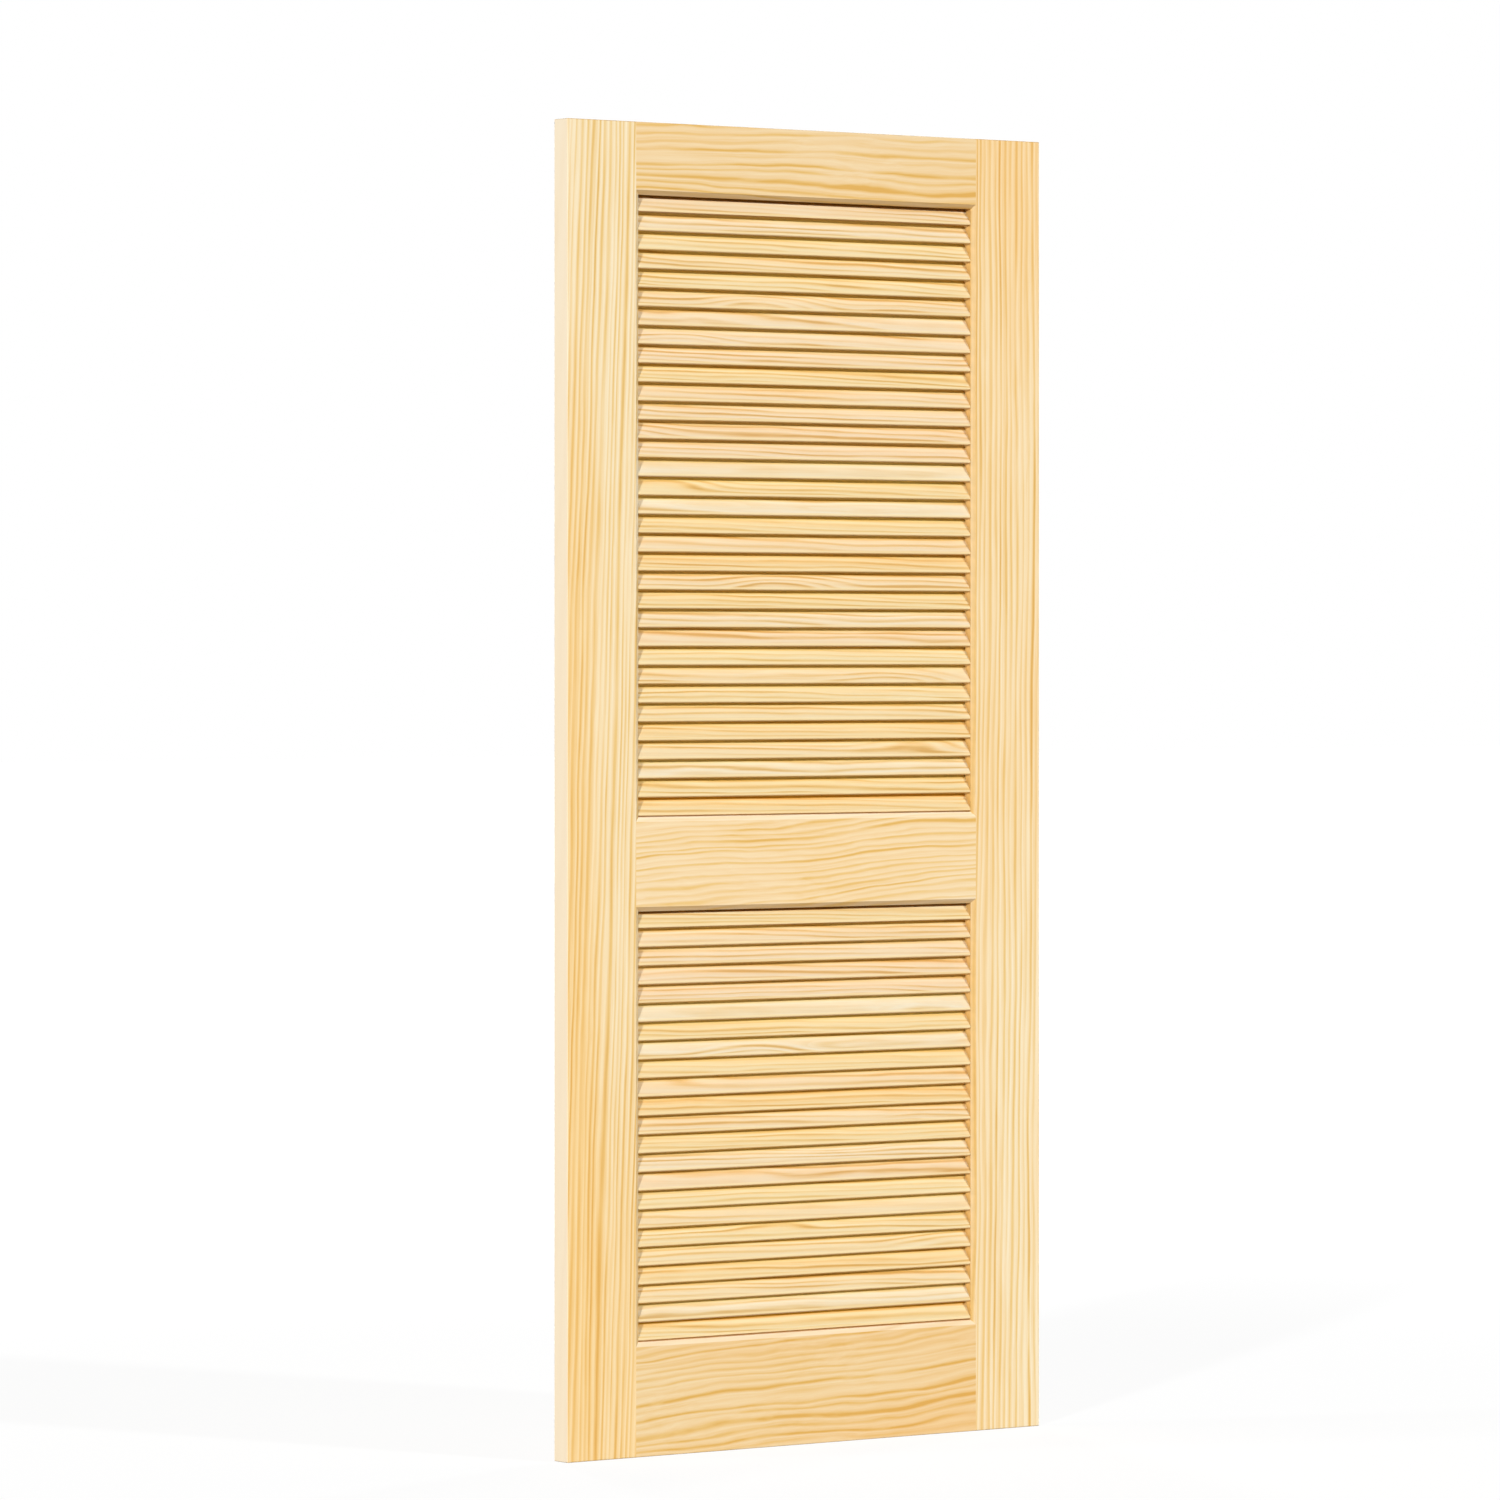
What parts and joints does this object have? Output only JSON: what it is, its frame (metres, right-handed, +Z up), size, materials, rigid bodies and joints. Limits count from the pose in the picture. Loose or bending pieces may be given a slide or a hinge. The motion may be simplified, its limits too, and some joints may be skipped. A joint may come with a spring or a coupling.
{
  "type": "louvred door",
  "caption": "Tall louvred door slab in bare pine: bevelled stiles and rails frame an upper and a lower panel of fixed sloping slats that let air pass and block the view.",
  "frame": {"origin": "middle of the door's bottom edge, at mid-thickness", "axes": "+Z up along the door's height, +X across its width, -Y out of the front face"},
  "size_m": [0.9144, 0.035, 2.032],
  "materials": {
    "pine_stile": "sanded, unfinished",
    "pine_rail": "sanded, unfinished",
    "pine_slat": "planed, unfinished",
    "beech_dowel": "turned, unfinished"
  },
  "bodies": {
    "root": {"bottom_rail": "pine_rail", "left_stile": "pine_stile", "lock_rail": "pine_rail", "lower_end_slats": "pine_slat", "lower_slat_02": "pine_slat", "lower_slat_03": "pine_slat", "lower_slat_04": "pine_slat", "lower_slat_05": "pine_slat", "lower_slat_06": "pine_slat", "lower_slat_07": "pine_slat", "lower_slat_08": "pine_slat", "lower_slat_09": "pine_slat", "lower_slat_10": "pine_slat", "lower_slat_11": "pine_slat", "lower_slat_12": "pine_slat", "lower_slat_13": "pine_slat", "lower_slat_14": "pine_slat", "lower_slat_15": "pine_slat", "lower_slat_16": "pine_slat", "lower_slat_17": "pine_slat", "lower_slat_18": "pine_slat", "lower_slat_19": "pine_slat", "lower_slat_20": "pine_slat", "lower_slat_21": "pine_slat", "lower_slat_22": "pine_slat", "rail_dowels": "beech_dowel", "right_stile": "pine_stile", "top_rail": "pine_rail", "upper_end_slats": "pine_slat", "upper_slat_02": "pine_slat", "upper_slat_03": "pine_slat", "upper_slat_04": "pine_slat", "upper_slat_05": "pine_slat", "upper_slat_06": "pine_slat", "upper_slat_07": "pine_slat", "upper_slat_08": "pine_slat", "upper_slat_09": "pine_slat", "upper_slat_10": "pine_slat", "upper_slat_11": "pine_slat", "upper_slat_12": "pine_slat", "upper_slat_13": "pine_slat", "upper_slat_14": "pine_slat", "upper_slat_15": "pine_slat", "upper_slat_16": "pine_slat", "upper_slat_17": "pine_slat", "upper_slat_18": "pine_slat", "upper_slat_19": "pine_slat", "upper_slat_20": "pine_slat", "upper_slat_21": "pine_slat", "upper_slat_22": "pine_slat", "upper_slat_23": "pine_slat", "upper_slat_24": "pine_slat", "upper_slat_25": "pine_slat", "upper_slat_26": "pine_slat", "upper_slat_27": "pine_slat", "upper_slat_28": "pine_slat", "upper_slat_29": "pine_slat", "upper_slat_30": "pine_slat", "upper_slat_31": "pine_slat", "upper_slat_32": "pine_slat"}
  },
  "joints": []
}
